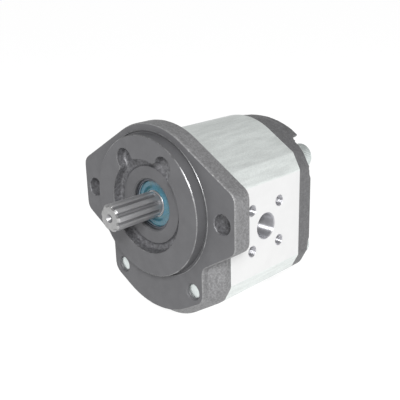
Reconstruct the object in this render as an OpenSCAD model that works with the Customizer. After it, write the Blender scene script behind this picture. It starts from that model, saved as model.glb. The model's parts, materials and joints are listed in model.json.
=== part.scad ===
// External gear pump with a two-bolt mounting flange, a splined drive shaft and side ports.
// Frame: X to the outlet side, Y from the drive end to the rear cover, Z up.
// Origin: on the drive shaft's axis, in the plane of the flange's mounting face.

/* [Mounting flange] */
// Diameter of the pilot that centres the pump
pilot_d = 82.55; // [80:0.05:84]
// Height of the pilot in front of the mounting face
pilot_h = 6.35; // [5:0.05:7]
// Distance between the two mounting holes
mount_spacing = 106.4; // [104:0.1:109]
// Diameter of the two mounting holes
mount_hole_d = 11.1; // [10:0.1:12]
// Thickness of the mounting ears
ear_t = 12; // [10:0.5:13]
// Thickness of the flange at its joint with the body
flange_t = 15.8; // [15:0.1:18]
// Radius of the flange's rounded top
flange_top_r = 47; // [46:0.5:48]
// Depth of the cast recess in the pilot, from its front face
moat_depth = 6; // [5:0.5:11]

/* [Body and rear cover] */
// Width of the body across its port faces
body_w = 90; // [88:0.5:92]
// Length of the body
body_l = 63.6; // [58:0.1:80]
// Radius of the body's rounded top and bottom
body_r = 39; // [38:0.5:40]
// Thickness of the rear cover at its sides
cover_side_t = 12; // [11:0.5:14]
// Thickness of the rear cover at its middle
cover_t = 18.1; // [16:0.1:22]
// Thickness left under the rear bolts
cover_bolt_t = 9.6; // [8:0.1:10]

/* [Gears and shafts] */
// Distance between the drive and driven shafts
centre_distance = 33; // [33:0.1:33.2]
// Teeth on each gear
gear_teeth = 12; // [12:1:12]
// Width of the gears
gear_w = 24; // [16:0.5:30]
// Pressure angle of the teeth
pressure_angle = 25; // [24:0.5:26]
// Thinning of each tooth, for backlash
backlash = 0.16; // [0.1:0.02:0.3]
// Diameter of the bearing journals
journal_d = 18; // [17:0.1:18.4]
// Distance from the mounting face to the end of the shaft
shaft_reach = 31.75; // [28:0.05:36]
// Teeth on the shaft's spline
spline_teeth = 9; // [9:1:9]
// Outer diameter of the spline
spline_d = 15.45; // [15:0.05:15.6]
// Root diameter of the spline
spline_root_d = 12.4; // [12:0.1:12.8]

/* [Ports] */
// Distance from the mounting face to the centre of the ports
port_y = 46.8; // [45:0.1:50]
// Height of the ports above the middle of the pump
port_rise = 0.8; // [0:0.1:1.5]
// Bore of the outlet port
outlet_d = 15; // [12:0.5:16]
// Diameter of the circle through the outlet's four screw holes
outlet_pcd = 35; // [34:0.5:36]
// Bore of the inlet port
inlet_d = 20; // [16:0.5:20]
// Diameter of the circle through the inlet's four screw holes
inlet_pcd = 40; // [39:0.5:42]

/* [Fasteners] */
// Distance from the middle of the pump to the bolts, sideways
bolt_x = 30; // [29.5:0.1:30.5]
// Distance from the middle of the pump to the bolts, up and down
bolt_z = 29.3; // [29:0.1:29.5]
// Length of the bolts under the head
bolt_l = 90; // [88:0.5:90]

/* [Hidden] */
$fn = 96;
eps = 0.01;

// Stations along the shaft
pilot_y = -pilot_h;
flange_y = flange_t;
cover_y = flange_y + body_l;
mid_y = flange_y + body_l / 2;
gear_y0 = mid_y - gear_w / 2;
gear_y1 = mid_y + gear_w / 2;
cover_side_y = cover_y + cover_side_t;
cover_back_y = cover_y + cover_t;
bolt_seat_y = cover_y + cover_bolt_t;
driven_z = -centre_distance;
mid_z = driven_z / 2;
half_w = body_w / 2;

// Gears
gear_module = centre_distance / gear_teeth;
gear_pitch_r = centre_distance / 2;
gear_tip_r = gear_pitch_r + gear_module;
gear_root_r = gear_pitch_r - 1.25 * gear_module;
gear_base_r = gear_pitch_r * cos(pressure_angle);
gear_bore_r = gear_tip_r + 0.05;
flank_steps = 6;
journal_r = journal_d / 2;
running_gap = 0.03;
side_gap = 0.05;

// Flange details
pilot_r = pilot_d / 2;
pilot_chamfer = 0.8;
relief_w = 1.2;
relief_depth = 0.5;
ear_tip_x = 62.5;
ear_corner_r = 7;
ear_corner_top_z = 13;
ear_corner_bottom_z = -11;
ear_under_r = 45.5;
lobe_half_w = 38.15;
lobe_corner_r = 8.15;
lobe_corner_z = -45.8;
lobe_bottom_r = 49;
lobe_bottom_z = -16;
lobe_fillet_r = 6;
lobe_fillet_z = -33.3;
flare_y0 = 4.5;
flare_y1 = 11;
flare_inset = 0.4;

// Recess in the pilot and the seat of the shaft seal
moat_r = 27.5;
moat_lobe_x = 15.9;
moat_lobe_z = 25.4;
moat_lobe_r = 6.4;
boss_r = 22.5;
boss_y = -1.8;
moat_floor_y = pilot_y + moat_depth;
seal_r = 15;
seal_w = 7;
ring_t = 1.2;
ring_y = 0.2;
ring_groove_r = 15.8;
ring_inner_r = 13.7;
seal_y = ring_y + ring_t;
seal_seat_y = seal_y + seal_w;
shaft_passage_r = journal_r + 0.6;

// Body outline
corner_r = 2.5;
shoulder_x = half_w - 7.1;
shoulder_z = 19.2;
side_z = 10.6;
crown_dz = 2.5;

// Bearing blocks, bushes and seals
block_r = gear_tip_r;
block_gap = 0.15;
bush_r = journal_r + 1.5;
bush_l = 18;
balance_inner_r = 14.6;
balance_outer_r = 17.2;
backup_outer_r = 18.4;
balance_open_x = 4.5;
balance_depth = 2.6;
relief_slot_x = 5.5;
relief_slot_w = 5;
relief_slot_h = 11;
relief_slot_depth = 1.5;
body_seal_inner_r = 22.2;
body_seal_outer_r = 24.2;
body_seal_depth = 1.8;

// Fasteners
thread_r = 4.5;
shank_r = 5;
bolt_clearance_r = 5.5;
thread_l = 14;
head_r = 8;
head_l = 10;
hex_across = 8;
hex_depth = 5;
washer_r = 9;
washer_t = 2.5;
bolt_pocket_r = 16;
bolt_pocket_dz = 2.5;
head_seat_y = bolt_seat_y + washer_t;
bolt_end_y = head_seat_y - bolt_l;
port_screw_r = 2.6;
port_screw_depth = 13;
port_chamfer = 0.6;
port_depth = 20;
port_step = 0.5;
dowel_r = 3;
dowel_l = 12;
dowel_x = 37;
dowel_dz = 6.5;

// Spline
spline_r = spline_d / 2;
spline_root_r = spline_root_d / 2;
spline_end_y = 0.5;
cutter_r = 22;
neck_r = 6.7;
neck_y1 = 1.9;
gap_root_w = 1.2;
gap_mouth_w = 3.9;
gap_mouth_r = spline_r + 0.6;
spline_phase = 23;

// Corner positions of the four bolts
bolt_places = [for (sx = [-1, 1], sz = [-1, 1]) [sx * bolt_x, mid_z + sz * bolt_z]];

// --- Helpers ---

// A flat outline in X and Z, made solid from y0 to y1
module prism(y0, y1) {
    translate([0, y1, 0])
        rotate([90, 0, 0])
            linear_extrude(height = y1 - y0)
                children();
}

// A round bar along Y
module bar(x, z, r, y0, y1) {
    translate([x, y0, z])
        rotate([-90, 0, 0])
            cylinder(r = r, h = y1 - y0);
}

// A cone along Y
module cone(x, z, r0, r1, y0, y1) {
    translate([x, y0, z])
        rotate([-90, 0, 0])
            cylinder(r1 = r0, r2 = r1, h = y1 - y0);
}

// Outward normal of the line that touches two circles, going anticlockwise from a to b
function touch_normal(a, b) =
    let (dx = b[0] - a[0], dz = b[1] - a[1], d = norm([dx, dz]), k = (a[2] - b[2]) / d, s = sqrt(1 - k * k))
    [(dz * s + dx * k) / d, (-dx * s + dz * k) / d];

// The band around a list of circles [x, z, r] in anticlockwise order
module band_outline(circles) {
    n = len(circles);
    points = [for (i = [0:n - 1])
                  let (a = circles[i], b = circles[(i + 1) % n], t = touch_normal(a, b))
                  each [[a[0] + a[2] * t[0], a[1] + a[2] * t[1]], [b[0] + b[2] * t[0], b[1] + b[2] * t[1]]]];
    polygon(points);
    for (c = circles)
        translate([c[0], c[1]])
            circle(r = c[2]);
}

// Both shaft bores as one figure of eight
module eight(r, y0, y1) {
    bar(0, 0, r, y0, y1);
    bar(0, driven_z, r, y0, y1);
}

// An oval around both shafts
module oval(r, y0, y1) {
    eight(r, y0, y1);
    translate([-r, y0, driven_z])
        cube([2 * r, y1 - y0, centre_distance]);
}

// --- Outlines ---

module body_outline() {
    top = 0;
    bottom = driven_z;
    band_outline([
        [half_w - corner_r, side_z, corner_r],
        [shoulder_x, shoulder_z, corner_r],
        [0, top, body_r],
        [-shoulder_x, shoulder_z, corner_r],
        [-half_w + corner_r, side_z, corner_r],
        [-half_w + corner_r, driven_z - side_z, corner_r],
        [-shoulder_x, driven_z - shoulder_z, corner_r],
        [0, bottom, body_r],
        [shoulder_x, driven_z - shoulder_z, corner_r],
        [half_w - corner_r, driven_z - side_z, corner_r]
    ]);
}

module ear_outline() {
    ear_x = ear_tip_x - ear_corner_r;
    circle(r = flange_top_r);
    band_outline([
        [ear_x, ear_corner_bottom_z, ear_corner_r],
        [ear_x, ear_corner_top_z, ear_corner_r],
        [0, 0, flange_top_r],
        [-ear_x, ear_corner_top_z, ear_corner_r],
        [-ear_x, ear_corner_bottom_z, ear_corner_r],
        [0, 0, ear_under_r]
    ]);
}

module lobe_outline() {
    intersection() {
        band_outline([
            [0, lobe_bottom_z, lobe_bottom_r],
            [bolt_x, lobe_corner_z, lobe_corner_r],
            [bolt_x, lobe_fillet_z, lobe_corner_r],
            [-bolt_x, lobe_fillet_z, lobe_corner_r],
            [-bolt_x, lobe_corner_z, lobe_corner_r]
        ]);
        translate([-lobe_half_w, -80])
            square([2 * lobe_half_w, 70]);
    }
}

// Rounding in the corners between the ears and the lower lobe
module lobe_fillets() {
    ear_x = ear_tip_x - ear_corner_r;
    centre = [lobe_half_w + lobe_fillet_r, lobe_fillet_z];
    under = touch_normal([0, 0, ear_under_r], [ear_x, ear_corner_bottom_z, ear_corner_r]);
    touch = centre - lobe_fillet_r * under;
    for (side = [-1, 1])
        mirror([side < 0 ? 1 : 0, 0])
            difference() {
                polygon([[lobe_half_w - 1, touch[1]], touch, centre, [lobe_half_w - 1, lobe_fillet_z]]);
                translate(centre)
                    circle(r = lobe_fillet_r, $fn = 48);
            }
}

// --- Castings and body ---

// Lower lobe widening from the front face to the body's outline
module flange_flare() {
    cut_z = -22;
    end_y = flare_y1 + 0.5;
    start_x = lobe_half_w - flare_inset;
    end_x = half_w + flare_inset;
    intersection() {
        prism(flare_y0, end_y)
            body_outline();
        cone(0, lobe_bottom_z, lobe_bottom_r - flare_inset, body_r - driven_z + lobe_bottom_z + flare_inset,
             flare_y0, end_y);
        translate([0, 0, cut_z - 60])
            linear_extrude(height = 60)
                polygon([[-start_x, flare_y0], [start_x, flare_y0], [end_x, end_y], [-end_x, end_y]]);
    }
}

// Cast recess around the boss of the shaft seal, with two pockets at the top
module pilot_recess() {
    difference() {
        union() {
            bar(0, 0, moat_r, pilot_y - 1, moat_floor_y);
            for (side = [-1, 1])
                bar(side * moat_lobe_x, moat_lobe_z, moat_lobe_r, pilot_y - 1, moat_floor_y);
        }
        bar(0, 0, boss_r, boss_y, moat_floor_y + 1);
    }
}

// Bore of the shaft seal with its snap ring groove, and the hole for the shaft behind it
module seal_seat() {
    mouth_l = 0.8;
    bar(0, 0, seal_r, pilot_y - 1, seal_seat_y);
    bar(0, 0, ring_groove_r, ring_y, seal_y);
    cone(0, 0, seal_r + mouth_l, seal_r, boss_y, boss_y + mouth_l);
    bar(0, 0, shaft_passage_r, 0, flange_y + 1);
}

// Groove for the oval seal between two faces
module body_seal(y0) {
    difference() {
        oval(body_seal_outer_r, y0, y0 + body_seal_depth);
        oval(body_seal_inner_r, y0 - 1, y0 + body_seal_depth + 1);
    }
}

// The two dowels of one joint face
module dowels(y0) {
    for (side = [-1, 1])
        bar(side * dowel_x, mid_z + side * dowel_dz, dowel_r, y0, y0 + dowel_l);
}

module front_flange() {
    color("dimgray")
        difference() {
            union() {
                prism(0, ear_t) {
                    ear_outline();
                    lobe_outline();
                    lobe_fillets();
                }
                prism(flare_y1, flange_y)
                    body_outline();
                flange_flare();
                bar(0, 0, pilot_r, pilot_y + pilot_chamfer, 1);
                cone(0, 0, pilot_r - pilot_chamfer, pilot_r, pilot_y, pilot_y + pilot_chamfer);
            }
            difference() {
                bar(0, 0, pilot_r + relief_w, -1, relief_depth);
                bar(0, 0, pilot_r, -2, relief_depth + 1);
            }
            pilot_recess();
            seal_seat();
            for (side = [-1, 1])
                bar(side * mount_spacing / 2, 0, mount_hole_d / 2, -1, flange_y + 1);
            for (p = bolt_places)
                bar(p[0], p[1], thread_r + 0.02, p[1] > mid_z ? 0 : -1, flange_y + 1);
            body_seal(flange_y - body_seal_depth);
            dowels(flange_y - dowel_l / 2);
        }
}

// A port on one side: its bore, the passage behind it, its mouth chamfer and four threaded screw holes
module port(side, r, pcd) {
    screw = pcd / 2 / sqrt(2);
    translate([0, port_y, mid_z + port_rise])
        rotate([0, side * 90, 0]) {
            cylinder(r = r - port_step, h = half_w);
            translate([0, 0, half_w - port_depth])
                cylinder(r = r, h = port_depth + 1);
            translate([0, 0, half_w - port_chamfer])
                cylinder(r1 = r, r2 = r + port_chamfer, h = port_chamfer);
            for (sy = [-1, 1], sz = [-1, 1])
                translate([sz * screw, sy * screw, half_w - port_screw_depth])
                    cylinder(r = port_screw_r, h = port_screw_depth + 1, $fn = 48);
        }
}

module pump_body() {
    color("gainsboro")
        difference() {
            prism(flange_y, cover_y)
                body_outline();
            eight(gear_bore_r, flange_y - 1, cover_y + 1);
            for (p = bolt_places)
                bar(p[0], p[1], bolt_clearance_r, flange_y - 1, cover_y + 1);
            port(1, outlet_d / 2, outlet_pcd);
            port(-1, inlet_d / 2, inlet_pcd);
            dowels(flange_y - dowel_l / 2);
            dowels(cover_y - dowel_l / 2);
        }
}

// The cover's outline: the body's, with a flatter top and bottom
module cover_outline(crown_r) {
    intersection() {
        body_outline();
        translate([0, mid_z - crown_dz])
            circle(r = crown_r);
        translate([0, mid_z + crown_dz])
            circle(r = crown_r);
    }
}

module rear_cover() {
    crown_r = 56;
    raised_crown_r = 55.3;
    raised_half_w = 30;
    color("dimgray")
        difference() {
            union() {
                prism(cover_y, cover_side_y)
                    cover_outline(crown_r);
                prism(cover_side_y - 1, cover_back_y)
                    intersection() {
                        cover_outline(raised_crown_r);
                        translate([-raised_half_w, -80])
                            square([2 * raised_half_w, 130]);
                    }
            }
            for (p = bolt_places) {
                // The pocket lies a little towards the middle from its bolt
                pocket_z = p[1] + (p[1] > mid_z ? -bolt_pocket_dz : bolt_pocket_dz);
                bar(p[0], pocket_z, bolt_pocket_r, bolt_seat_y, cover_back_y + 1);
                bar(p[0], p[1], bolt_clearance_r, cover_y - 1, cover_back_y);
            }
            body_seal(cover_y);
            dowels(cover_y - dowel_l / 2);
        }
}

// --- Gears and shafts ---

function polar(r, a) = [r * cos(a), r * sin(a)];

// Involute function in degrees
function involute(a) = tan(a) * 180 / PI - a;

// Half of the tooth's angle at radius r
function half_tooth(r) =
    (gear_module * PI / 2 - backlash) / (2 * gear_pitch_r) * 180 / PI
    + involute(pressure_angle) - involute(acos(gear_base_r / r));

module gear_outline(phase) {
    radii = [for (i = [0:flank_steps]) gear_base_r + (gear_tip_r - gear_base_r) * i / flank_steps];
    base_half = half_tooth(gear_base_r);
    polygon([
        for (tooth = [0:gear_teeth - 1])
            let (a = phase + tooth * 360 / gear_teeth)
            each concat(
                [polar(gear_root_r, a - base_half)],
                [for (i = [0:flank_steps]) polar(radii[i], a - half_tooth(radii[i]))],
                [for (i = [flank_steps:-1:0]) polar(radii[i], a + half_tooth(radii[i]))],
                [polar(gear_root_r, a + base_half)]
            )
    ]);
}

// A gear with a journal on each side of it
module gear_shaft(z, phase, y0, y1) {
    end_chamfer = 0.8;
    translate([0, 0, z])
        prism(gear_y0, gear_y1)
            gear_outline(phase);
    bar(0, z, journal_r, y0 + end_chamfer, y1 - end_chamfer);
    cone(0, z, journal_r - end_chamfer, journal_r, y0, y0 + end_chamfer);
    cone(0, z, journal_r, journal_r - end_chamfer, y1 - end_chamfer, y1);
}

// One gap of the spline: a straight groove that runs out where the cutter left it
module spline_gap() {
    runout_y = -7;
    depth = gap_mouth_r - spline_root_r;
    prism(-shaft_reach - 1, runout_y)
        polygon([
            [spline_root_r, -gap_root_w / 2],
            [gap_mouth_r, -gap_mouth_w / 2],
            [gap_mouth_r, gap_mouth_w / 2],
            [spline_root_r, gap_root_w / 2]
        ]);
    translate([spline_root_r + cutter_r, runout_y, 0])
        rotate_extrude()
            polygon([
                [cutter_r - depth, -gap_mouth_w / 2],
                [cutter_r, -gap_root_w / 2],
                [cutter_r, gap_root_w / 2],
                [cutter_r - depth, gap_mouth_w / 2]
            ]);
}

// Centre hole in the end of the shaft
module centre_hole(y0) {
    cone(0, 0, 3.4, 0.9, y0 - eps, y0 + 3);
    bar(0, 0, 1, y0, y0 + 5.5);
}

module drive_gear_shaft() {
    tip_chamfer = 1.1;
    step = 0.7;
    end_y = -shaft_reach;
    color("silver")
        difference() {
            union() {
                gear_shaft(0, 0, neck_y1, cover_y - 0.4);
                bar(0, 0, neck_r, spline_end_y - eps, neck_y1 + 1);
                bar(0, 0, spline_r, end_y + tip_chamfer, spline_end_y - step);
                cone(0, 0, spline_r - tip_chamfer, spline_r, end_y, end_y + tip_chamfer);
                cone(0, 0, spline_r, neck_r, spline_end_y - step, spline_end_y);
            }
            for (i = [0:spline_teeth - 1])
                rotate([0, -spline_phase - i * 360 / spline_teeth, 0])
                    spline_gap();
            centre_hole(end_y);
        }
}

module driven_gear_shaft() {
    color("silver")
        gear_shaft(driven_z, 180 / gear_teeth, flange_y + 0.4, cover_y - 0.4);
}

// --- Bearing blocks, bushes and seals ---

// Band between two figures of eight, open on the outlet side
module open_eight(inner_r, outer_r, y0, y1) {
    difference() {
        eight(outer_r, y0, y1);
        eight(inner_r, y0 - 1, y1 + 1);
        translate([balance_open_x, y0 - 1, driven_z - outer_r - 1])
            cube([outer_r, y1 - y0 + 2, centre_distance + 2 * outer_r + 2]);
    }
}

// A block that carries both shafts, from its gear face to its sealed outer face
module bearing_block(gear_face, outer_face) {
    away = outer_face > gear_face ? 1 : -1;
    y0 = min(gear_face, outer_face);
    y1 = max(gear_face, outer_face);
    groove_face = outer_face - away * balance_depth;
    slot_face = gear_face + away * relief_slot_depth;
    color("darkkhaki")
        difference() {
            eight(block_r, y0, y1);
            eight(bush_r, y0 - 1, y1 + 1);
            open_eight(balance_inner_r, backup_outer_r,
                       min(groove_face, outer_face + away), max(groove_face, outer_face + away));
            for (side = [-1, 1])
                translate([side * relief_slot_x - relief_slot_w / 2,
                           min(gear_face - away, slot_face),
                           mid_z - relief_slot_h / 2])
                    cube([relief_slot_w, relief_slot_depth + 1, relief_slot_h]);
        }
}

module front_bearing_block() {
    bearing_block(gear_y0 - side_gap, flange_y + block_gap);
}

module rear_bearing_block() {
    bearing_block(gear_y1 + side_gap, cover_y - block_gap);
}

module bush(z, y0) {
    color("peru")
        difference() {
            bar(0, z, bush_r, y0, y0 + bush_l);
            bar(0, z, journal_r + running_gap, y0 - 1, y0 + bush_l + 1);
        }
}

front_bush_y = gear_y0 - side_gap - bush_l - 0.8;
rear_bush_y = gear_y1 + side_gap + 0.8;

module front_drive_bush() {
    bush(0, front_bush_y);
}

module front_driven_bush() {
    bush(driven_z, front_bush_y);
}

module rear_drive_bush() {
    bush(0, rear_bush_y);
}

module rear_driven_bush() {
    bush(driven_z, rear_bush_y);
}

front_balance_y = flange_y + block_gap + balance_depth;
rear_balance_y = cover_y - block_gap - balance_depth;

module front_balance_seal() {
    color("black")
        open_eight(balance_inner_r, balance_outer_r, flange_y, front_balance_y);
}

module rear_balance_seal() {
    color("black")
        open_eight(balance_inner_r, balance_outer_r, rear_balance_y, cover_y);
}

module front_backup_ring() {
    color("ivory")
        open_eight(balance_outer_r, backup_outer_r, flange_y, front_balance_y);
}

module rear_backup_ring() {
    color("ivory")
        open_eight(balance_outer_r, backup_outer_r, rear_balance_y, cover_y);
}

module front_body_seal() {
    color("black")
        body_seal(flange_y - body_seal_depth);
}

module rear_body_seal() {
    color("black")
        body_seal(cover_y);
}

// A ring around the drive shaft from its outline in radius and Y
module turned(points) {
    rotate([-90, 0, 0])
        rotate_extrude()
            polygon(points);
}

seal_face_y = seal_y + 0.8;
case_t = 1.2;
case_inner_r = seal_r - case_t;
case_foot_r = 12;
lip_back_r = 10.6;

module shaft_seal_case() {
    color("lightslategray")
        turned([
            [case_inner_r, seal_y],
            [seal_r, seal_y],
            [seal_r, seal_seat_y],
            [case_foot_r, seal_seat_y],
            [case_foot_r, seal_seat_y - case_t],
            [case_inner_r, seal_seat_y - case_t]
        ]);
}

module shaft_seal_lip() {
    lip_r = journal_r + 0.05;
    back_r = 12.6;
    color("cadetblue")
        turned([
            [case_inner_r, seal_face_y],
            [case_inner_r, seal_seat_y - case_t],
            [back_r, seal_seat_y - case_t],
            [back_r, seal_y + 2.6],
            [lip_back_r, seal_y + 3.2],
            [lip_back_r, seal_y + 4.4],
            [lip_r + 0.9, seal_y + 5.2],
            [lip_r, seal_y + 4.2],
            [lip_r + 0.5, seal_y + 2.4],
            [lip_r + 0.5, seal_face_y + 0.6],
            [lip_r + 1.2, seal_face_y]
        ]);
}

module seal_garter_spring() {
    wire_r = 0.6;
    color("silver")
        translate([0, seal_y + 3.8, 0])
            rotate([-90, 0, 0])
                rotate_extrude()
                    translate([lip_back_r + wire_r + 0.05, 0])
                        circle(r = wire_r, $fn = 24);
}

module seal_retaining_ring() {
    gap_w = 6;
    gap_angle = 205;
    ring_outer_r = ring_groove_r - 0.2;
    color("slategray")
        difference() {
            bar(0, 0, ring_outer_r, ring_y, seal_y);
            bar(0, 0, ring_inner_r, ring_y - 1, seal_y + 1);
            rotate([0, -gap_angle, 0])
                translate([0, ring_y - 1, -gap_w / 2])
                    cube([20, ring_t + 2, gap_w]);
        }
}

// --- Fasteners ---

module assembly_bolt(x, z) {
    rim = 0.8;
    head_end_y = head_seat_y + head_l;
    thread_end_y = bolt_end_y + thread_l;
    tip = 0.9;
    difference() {
        union() {
            bar(x, z, head_r, head_seat_y, head_end_y - rim);
            cone(x, z, head_r, head_r - rim, head_end_y - rim, head_end_y);
            bar(x, z, shank_r, flange_y + 0.5, head_seat_y);
            bar(x, z, thread_r, bolt_end_y + tip, flange_y + 0.5);
            cone(x, z, thread_r - tip, thread_r, bolt_end_y, bolt_end_y + tip);
        }
        translate([x, head_end_y - hex_depth, z])
            rotate([-90, 0, 0])
                cylinder(r = hex_across / 2 / cos(30), h = hex_depth + 1, $fn = 6);
    }
}

module assembly_bolts() {
    color("lightgray")
        for (p = bolt_places)
            assembly_bolt(p[0], p[1]);
}

module bolt_washers() {
    color("lightgray")
        for (p = bolt_places)
            difference() {
                bar(p[0], p[1], washer_r, bolt_seat_y, head_seat_y);
                bar(p[0], p[1], shank_r + 0.25, bolt_seat_y - 1, head_seat_y + 1);
            }
}

module front_dowels() {
    color("gray")
        dowels(flange_y - dowel_l / 2);
}

module rear_dowels() {
    color("gray")
        dowels(cover_y - dowel_l / 2);
}

// --- Assembly ---

front_flange();
pump_body();
rear_cover();
drive_gear_shaft();
driven_gear_shaft();
front_bearing_block();
rear_bearing_block();
front_drive_bush();
front_driven_bush();
rear_drive_bush();
rear_driven_bush();
front_balance_seal();
rear_balance_seal();
front_backup_ring();
rear_backup_ring();
front_body_seal();
rear_body_seal();
shaft_seal_case();
shaft_seal_lip();
seal_garter_spring();
seal_retaining_ring();
assembly_bolts();
bolt_washers();
front_dowels();
rear_dowels();
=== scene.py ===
"""The looks of a hydraulic gear pump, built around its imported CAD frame."""

import json
import math
import bmesh
import bpy
import numpy as np
from mathutils import Matrix, Vector


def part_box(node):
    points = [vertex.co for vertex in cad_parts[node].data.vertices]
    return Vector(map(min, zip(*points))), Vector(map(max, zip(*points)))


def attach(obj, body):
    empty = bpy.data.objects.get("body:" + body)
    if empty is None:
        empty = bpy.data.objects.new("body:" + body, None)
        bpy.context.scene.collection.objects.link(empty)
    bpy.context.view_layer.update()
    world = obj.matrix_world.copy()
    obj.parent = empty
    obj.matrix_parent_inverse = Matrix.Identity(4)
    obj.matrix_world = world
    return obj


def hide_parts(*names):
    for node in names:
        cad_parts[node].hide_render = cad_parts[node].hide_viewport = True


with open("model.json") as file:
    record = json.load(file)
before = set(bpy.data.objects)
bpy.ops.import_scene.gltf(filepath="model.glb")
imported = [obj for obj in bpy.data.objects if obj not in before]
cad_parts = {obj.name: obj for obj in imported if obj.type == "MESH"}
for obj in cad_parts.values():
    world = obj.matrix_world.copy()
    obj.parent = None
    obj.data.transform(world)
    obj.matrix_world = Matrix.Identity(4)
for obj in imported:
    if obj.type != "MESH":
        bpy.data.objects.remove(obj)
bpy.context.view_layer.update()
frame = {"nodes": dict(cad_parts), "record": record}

MM = 0.001
SKY = 0.4
RECORD = frame["record"]
MOUNTS = {m["name"]: m for m in RECORD["mounts"]}


# --- Sizes from the frame, in millimetres ---


def box_mm(node):
    """Lowest and highest corner of a CAD node, in millimetres."""
    low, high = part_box(node)
    return low / MM, high / MM


def mount_mm(name):
    """A mount's place in millimetres, and its dimensions."""
    mount = MOUNTS[name]
    return Vector(mount["pos_m"]) / MM, mount["dims"]


FLANGE_LOW, FLANGE_HIGH = box_mm("front_flange")
BODY_LOW, BODY_HIGH = box_mm("pump_body")
COVER_HIGH = box_mm("rear_cover")[1]
BOLTS_LOW, BOLTS_HIGH = box_mm("assembly_bolts")
WASHERS_LOW, WASHERS_HIGH = box_mm("bolt_washers")
SHAFT_LOW, SHAFT_HIGH = box_mm("drive_gear_shaft")
DRIVEN_Z = next(j["pos_m"][2] for j in RECORD["behaviour"]["joints"] if j["name"] == "driven_gear_spin") / MM
MID_Z = DRIVEN_Z / 2

PILOT_R = mount_mm("pilot")[1]["r_mm"]
PILOT_Y = FLANGE_LOW.y
FLANGE_Y = FLANGE_HIGH.y
COVER_Y = BODY_HIGH.y
COVER_BACK_Y = COVER_HIGH.y
HALF_W = BODY_HIGH.x
EAR_HOLE_X = mount_mm("mounting_bolts")[1]["spacing_x_mm"] / 2
EAR_HOLE_R = mount_mm("mounting_bolts")[1]["hole_r_mm"]

# Shape of the castings and the body
EAR_T = 12
EAR_X = FLANGE_HIGH.x - 7
HEAD_R = FLANGE_HIGH.z
BODY_R = BODY_HIGH.z
BOLT_X = 30
BOLT_Z = 29.3
BOLT_PLACES = [(sx * BOLT_X, MID_Z + sz * BOLT_Z) for sx in (-1, 1) for sz in (-1, 1)]
COVER_SIDE_Y = COVER_Y + 12
BOLT_SEAT_Y = WASHERS_LOW.y
HEAD_SEAT_Y = WASHERS_HIGH.y

# Outlines as circles (x, z, radius) in anticlockwise order. A negative radius is a hollow corner.
FLANGE_CIRCLES = [
    (0, -16, 49),
    (BOLT_X, -45.8, 8.15),
    (44.15, -33.3, -6),
    (EAR_X, -11, 7),
    (EAR_X, 13, 7),
    (0, 0, HEAD_R),
    (-EAR_X, 13, 7),
    (-EAR_X, -11, 7),
    (-44.15, -33.3, -6),
    (-BOLT_X, -45.8, 8.15),
]
LOBE_CIRCLES = [
    (0, -16, 49),
    (BOLT_X, -45.8, 8.15),
    (BOLT_X, -10, 8.15),
    (-BOLT_X, -10, 8.15),
    (-BOLT_X, -45.8, 8.15),
]
CORNER_R = 2.5
SHOULDER_X = HALF_W - 7.1
SHOULDER_Z = 19.2
SIDE_Z = 10.6
BODY_CIRCLES = [
    (HALF_W - CORNER_R, SIDE_Z, CORNER_R),
    (SHOULDER_X, SHOULDER_Z, CORNER_R),
    (0, 0, BODY_R),
    (-SHOULDER_X, SHOULDER_Z, CORNER_R),
    (-HALF_W + CORNER_R, SIDE_Z, CORNER_R),
    (-HALF_W + CORNER_R, DRIVEN_Z - SIDE_Z, CORNER_R),
    (-SHOULDER_X, DRIVEN_Z - SHOULDER_Z, CORNER_R),
    (0, DRIVEN_Z, BODY_R),
    (SHOULDER_X, DRIVEN_Z - SHOULDER_Z, CORNER_R),
    (HALF_W - CORNER_R, DRIVEN_Z - SIDE_Z, CORNER_R),
]
# Recess in the pilot: a ring around the shaft seal's boss, with two pockets at the top
MOAT_R = 27.5
LOBE_X, LOBE_Z, LOBE_R = 15.9, 25.4, 6.4
CUSP_R = 2.0
MOAT_FLOOR_Y = PILOT_Y + 6
BOSS_R = 22.5
BOSS_Y = -1.8
SEAL_R = 15
SEAL_Y = 1.4
SEAL_BACK_Y = SEAL_Y + 7
JOURNAL_R = 9
RING_Y = 0.2
PASSAGE_R = JOURNAL_R + 0.6

# How the pieces are made
FAR = 90
CAST_VOXEL = 0.7
BOLT_HOLE_R = 5.5
THREAD_R, THREAD_PITCH, THREAD_DEPTH = 4.9, 1.5, 0.65
DOWEL_R, DOWEL_X, DOWEL_DZ, DOWEL_DEPTH = 3, 37, 6.5, 6


# --- Outlines ---


def touch(a, b):
    """Outward normal of the line that touches circles a and b, going anticlockwise."""
    dx, dz = b[0] - a[0], b[1] - a[1]
    length = math.hypot(dx, dz)
    k = (a[2] - b[2]) / length
    s = math.sqrt(max(0.0, 1 - k * k))
    return (dz * s + dx * k) / length, (-dx * s + dz * k) / length


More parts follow.
